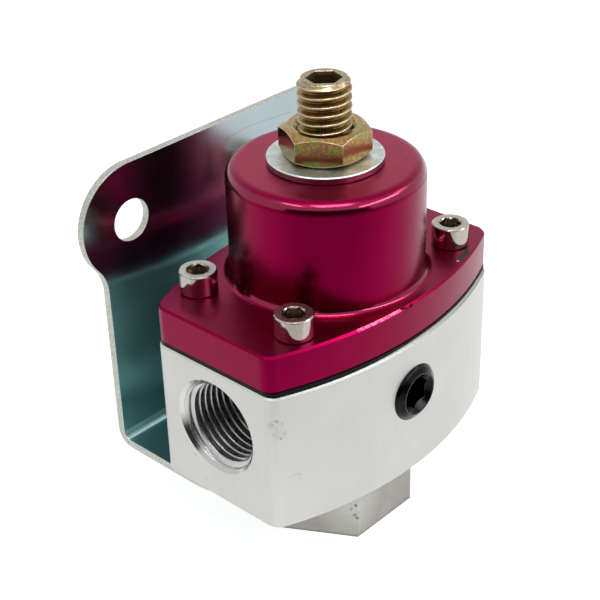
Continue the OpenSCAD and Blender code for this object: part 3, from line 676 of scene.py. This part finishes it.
def helix(bm, pitch, low, high, radius_at):
    """A right-handed thread's surface about Z, cut square at low and high."""
    points = POINTS_PER_PITCH
    first = math.floor(low / pitch) - SPARE_TURNS
    turns = math.ceil(high / pitch) + SPARE_TURNS - first
    made = {}

    def vertex(step, point):
        if point == points:
            step, point = step + STEPS_PER_TURN, 0
        if (step, point) not in made:
            share = point / points
            angle = math.tau * step / STEPS_PER_TURN
            z = pitch * (first + step / STEPS_PER_TURN + share)
            radius = radius_at(z, profile_height(share))
            made[step, point] = bm.verts.new((radius * math.cos(angle), radius * math.sin(angle), z))
        return made[step, point]

    for step in range(turns * STEPS_PER_TURN):
        for point in range(points):
            corners = [(step, point), (step + 1, point), (step + 1, point + 1), (step, point + 1)]
            bm.faces.new([vertex(*corner) for corner in corners])
    for z, side in ((low, -1), (high, 1)):
        everything = [*bm.verts, *bm.edges, *bm.faces]
        bmesh.ops.bisect_plane(
            bm, geom=everything, dist=ON_CUT, plane_co=(0, 0, z), plane_no=(0, 0, side), clear_outer=True
        )


def open_edges(bm, z):
    """The open edges that lie at height z."""
    return [e for e in bm.edges if e.is_boundary and all(abs(v.co.z - z) < AT_HEIGHT for v in e.verts)]


def hexagon(bm, flats, z, turn):
    """A loop of six edges, as wide as flats."""
    radius = flats / math.sqrt(3)
    angles = [math.radians(turn + 60 * k) for k in range(6)]
    corners = [bm.verts.new((radius * math.cos(a), radius * math.sin(a), z)) for a in angles]
    return corners, [bm.edges.new((corners[k], corners[(k + 1) % 6])) for k in range(6)]


def wall(bm, lower, upper):
    """Faces between two loops of as many corners."""
    count = len(lower)
    for k in range(count):
        bm.faces.new([lower[k], lower[(k + 1) % count], upper[(k + 1) % count], upper[k]])


def adjusting_screw(material):
    """The set screw with its thread and key socket, in place of its plain CAD solid."""
    low, high = [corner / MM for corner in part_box("adjusting_screw")]
    crest = high.x
    bm = bmesh.new()

    def radius_at(z, height):
        bevel = SCREW_RIM_RADIUS + high.z - z
        return min(crest - SCREW_DEPTH * (1 - height), max(bevel, SCREW_RIM_RADIUS))

    helix(bm, SCREW_PITCH, low.z, high.z, radius_at)
    bmesh.ops.edgeloop_fill(bm, edges=open_edges(bm, low.z))
    rim = open_edges(bm, high.z)
    mouth, mouth_edges = hexagon(bm, SCREW_SOCKET_MOUTH, high.z, SCREW_SOCKET_TURN)
    bmesh.ops.triangle_fill(bm, edges=rim + mouth_edges, use_beauty=True)
    depths = (SCREW_SOCKET_BEVEL, SCREW_SOCKET_DEPTH)
    loops = [mouth] + [hexagon(bm, SCREW_SOCKET_FLATS, high.z - d, SCREW_SOCKET_TURN)[0] for d in depths]
    for upper, lower in zip(loops, loops[1:]):
        wall(bm, lower, upper)
    bm.faces.new(loops[-1])
    piece = mesh_piece("adjusting_screw_thread", bm, material)
    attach(piece, "adjuster")
    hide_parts("adjusting_screw")


def port_thread(name, mount, mouth, material):
    """The thread cut in a port: a thin sleeve that lines the CAD bore from its mouth inwards."""
    axis = Vector(mount["axis"])
    bore = mount["dims"]["r_mm"]
    foot = Vector(mount["pos_m"]) / MM
    end = mouth - (foot - axis * mount["dims"]["length_mm"]).dot(axis)
    start = PIPE_MOUTH_BEVEL + PIPE_GAP
    outer = bore - PIPE_GAP
    bm = bmesh.new()

    def radius_at(z, height):
        lead_in = bore - (z - PIPE_MOUTH_BEVEL)
        thread = outer - PIPE_GAP - PIPE_DEPTH * height
        blended = (thread + lead_in + math.hypot(thread - lead_in, PIPE_BLEND)) / 2
        return min(blended, outer - PIPE_GAP)

    helix(bm, PIPE_PITCH, start, end, radius_at)
    for z in (start, end):
        rim = bmesh.ops.extrude_edge_only(bm, edges=open_edges(bm, z))["geom"]
        for vertex in rim:
            if isinstance(vertex, bmesh.types.BMVert):
                vertex.co.xy = vertex.co.xy.normalized() * outer
    bmesh.ops.bridge_loops(bm, edges=open_edges(bm, start) + open_edges(bm, end))
    inward = (-axis).to_track_quat("Z", "Y").to_matrix().to_4x4()
    foot_at_mouth = foot + axis * (mouth - foot.dot(axis))
    bmesh.ops.transform(bm, matrix=Matrix.Translation(foot_at_mouth) @ inward, verts=bm.verts)
    piece = mesh_piece(name, bm, material)
    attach(piece, "housing")


def main_spring(material):
    """The main spring in two halves, cut at its middle, each made into its own piece."""
    low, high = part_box("main_spring")
    middle = (low.z + high.z) / 2
    wire = SPRING_WIRE * MM
    for name, body, end, side in (
        ("main_spring_upper", "spring_seat", high.z - wire, 1),
        ("main_spring_lower", "valve", low.z + wire, -1),
    ):
        bm = bmesh.new()
        bm.from_mesh(nodes["main_spring"].data)
        everything = [*bm.verts, *bm.edges, *bm.faces]
        bmesh.ops.bisect_plane(
            bm, geom=everything, plane_co=(0, 0, middle), plane_no=(0, 0, side), clear_inner=True
        )
        bmesh.ops.scale(bm, vec=[1 / MM] * 3, verts=bm.verts)
        piece = mesh_piece(name, bm, material)
        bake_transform(piece)
        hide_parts("main_spring")


def valve_spring(material):
    """The valve spring, made into its own piece from the CAD node."""
    bm = bmesh.new()
    bm.from_mesh(nodes["valve_spring"].data)
    bmesh.ops.scale(bm, vec=[1 / MM] * 3, verts=bm.verts)
    piece = mesh_piece("valve_spring_coil", bm, material)
    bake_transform(piece)
    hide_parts("valve_spring")


def stage_plane(name, width, depth, matrix, material):
    """A flat stage piece in the XY plane, then moved by matrix."""
    bm = bmesh.new()
    bmesh.ops.create_grid(bm, x_segments=1, y_segments=1, size=0.5)
    plane = mesh_object(name, bm, material)
    plane.matrix_world = Matrix.Scale(MM, 4) @ matrix @ Matrix.Diagonal((width, depth, 1.0, 1.0))
    return plane


def stage_material(name):
    """A material without a shader yet."""
    material = bpy.data.materials.new(name)
    material.use_nodes = True
    tree = material.node_tree
    tree.nodes.remove(tree.nodes["Principled BSDF"])
    return material


def shown_directly(tree):
    """1 for the rays that show the background itself: to the camera, off metal and through glass."""
    path = add_node(tree, "LightPath", {}).node.outputs
    total = path["Is Camera Ray"]
    for ray in ("Is Glossy Ray", "Is Transmission Ray"):
        total = add_node(tree, "Math", {0: total, 1: path[ray]}, operation="MAXIMUM")
    return total


def floor_material():
    """A white sweep that keeps the object's shadow."""
    material = stage_material("studio_floor")
    tree = material.node_tree
    matt = add_node(tree, "BsdfDiffuse", {"Color": (FLOOR_SHADE, FLOOR_SHADE, FLOOR_SHADE, 1.0)})
    level = add_node(tree, "Math", {0: shown_directly(tree), 1: FLOOR_GLOW}, operation="MULTIPLY")
    glow = add_node(tree, "Emission", {"Strength": level})
    both = add_node(tree, "AddShader", {0: matt, 1: glow})
    feed(tree, tree.nodes["Material Output"].inputs["Surface"], both)
    return material


def dim_material(name, near, far):
    """A dim surface for reflections alone, whose level runs from near to far along its depth."""
    material = stage_material(name)
    tree = material.node_tree
    level = near
    if near != far:
        place = add_node(tree, "TexCoord", {}, "Object")
        depth = add_node(tree, "SeparateXYZ", {0: place}, "Y")
        ends = {"From Min": 0.5, "From Max": -0.5, "To Min": near, "To Max": far}
        level = add_node(tree, "MapRange", {"Value": depth, **ends})
    glow = add_node(tree, "Emission", {"Strength": level})
    feed(tree, tree.nodes["Material Output"].inputs["Surface"], glow)
    return material


def dim_card(name, matrix, depth, near, far):
    """A dim card behind or before the camera, which only the metal's reflections show."""
    matrix = turned(CAMERA_AZIMUTH, "Z") @ matrix
    card = stage_plane(name, ROOM_WIDTH, depth, matrix, dim_material(name, near, far))
    card.visible_camera = False
    card.visible_diffuse = False
    card.visible_shadow = False


def white_world():
    """White where it is seen, and a soft fill for the rest."""
    world = bpy.data.worlds.new("studio_world")
    bpy.context.scene.world = world
    world.use_nodes = True
    tree = world.node_tree
    backdrop = tree.nodes["Background"].inputs
    level = add_node(tree, "MapRange", {"Value": shown_directly(tree), "To Min": FILL_LEVEL})
    feed(tree, backdrop["Color"], (1.0, 1.0, 1.0, 1.0))
    feed(tree, backdrop["Strength"], level)


def softbox(name, place, width, depth, watts):
    """A rectangular area lamp, aimed at the object."""
    light = bpy.data.lights.new(name, "AREA")
    light.shape = "RECTANGLE"
    light.size = width * MM
    light.size_y = depth * MM
    light.energy = watts
    lamp = add_object(name, light)
    lamp.location = Vector(place) * MM
    lamp.rotation_euler = (Vector(AIM) - Vector(place)).to_track_quat("-Z", "Y").to_euler()
    lamp.visible_camera = False


def studio():
    """The floor, the backdrop, the lamps, and the dark room and dim floor that reflections show."""
    white_world()
    stage_plane("floor", FLOOR_SIZE, FLOOR_SIZE, Matrix.Identity(4), floor_material())
    for lamp in LAMPS:
        softbox(*lamp)
    upright = Matrix.Translation((0.0, -ROOM_DISTANCE, ROOM_HIGH / 2)) @ turned(90.0, "X")
    dim_card("dark_room", upright, ROOM_HIGH, ROOM_SHADE, ROOM_SHADE)
    for name, start, end, near, far in (
        ("floor_end", DIM_FROM, DIM_TO, 1.0, DIM_SHADE),
        ("floor_beyond", DIM_TO, ROOM_DISTANCE, DIM_SHADE, ROOM_SHADE),
    ):
        flat = Matrix.Translation((0.0, -(start + end) / 2, DIM_LIFT))
        dim_card(name, flat, end - start, near, far)


def camera():
    """The photograph's camera."""
    data = bpy.data.cameras.new("photo_camera")
    data.sensor_width = CAMERA_SENSOR
    data.lens = CAMERA_LENS
    data.clip_start = CAMERA_NEAR * MM
    eye = add_object("photo_camera", data)
    turn = turned(CAMERA_AZIMUTH, "Z") @ turned(90 - CAMERA_ELEVATION, "X") @ turned(CAMERA_ROLL, "Z")
    eye.matrix_world = Matrix.Translation(Vector(CAMERA_PLACE) * MM) @ turn
    bpy.context.scene.camera = eye


def outer_pieces():
    """Dresses the CAD nodes that show, and the seals."""
    outlet = mounts["outlet_left"]
    outlet_centre = Vector(outlet["pos_m"]) / MM
    dress(satin_aluminium(outlet_centre, outlet["dims"]["r_mm"] + PIPE_MOUTH_BEVEL), "body")
    dress(red_anodise(), "cover")
    dress(black_rubber(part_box("body")[1].z / MM), "diaphragm", "inlet_seal", "poppet_seal")
    far_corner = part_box("cover_screws")[1] / MM
    head = far_corner - Vector((CAP_RADIUS, CAP_RADIUS, 0.0))
    dress(polished_nickel(head, far_corner.z), "cover_screws")
    dress(yellow_zinc_nut(), "jam_nut")
    dress(clear_zinc(), "flat_washer")
    dress(bright_zinc(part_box("body")[0].z / MM), "bracket")
    dress(black_oxide(), "gauge_plug")
    dress(grey_aluminium(), "inlet_fitting")


def inner_pieces():
    """Dresses the CAD nodes inside, and makes the spring pieces."""
    brass = turned_metal("turned_brass", srgb(214, 184, 116), roughness=0.30)
    dress(brass, "valve_seat", "valve_poppet", "spring_seat", "spring_retainer")
    spring_wire = turned_metal("spring_wire", srgb(140, 140, 142), roughness=0.32)
    dress(spring_wire, "main_spring", "valve_spring", "retainer_clip")
    main_spring(spring_wire)
    valve_spring(spring_wire)
    zinc_plate = turned_metal("zinc_plate", srgb(184, 186, 188), roughness=0.34)
    dress(zinc_plate, "diaphragm_stem", "lower_plate", "upper_plate", "stem_nut")


def threads():
    """The screw and port threads, which the CAD solids leave plain."""
    screw_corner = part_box("adjusting_screw")[1] / MM
    adjusting_screw(yellow_zinc_screw(screw_corner.x, screw_corner.z))
    aluminium = cut_thread("cut_aluminium", tone=196)
    grey = cut_thread("cut_grey", tone=150)
    body_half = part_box("body")[1].x / MM
    for side in ("left", "right"):
        outlet = mounts[f"outlet_{side}"]
        port_thread(f"outlet_thread_{side}", outlet, body_half, aluminium)
    port_thread("inlet_thread", mounts["inlet_port"], 0.0, grey)


bpy.context.scene.view_settings.view_transform = "Standard"
camera()
studio()
outer_pieces()
inner_pieces()
threads()
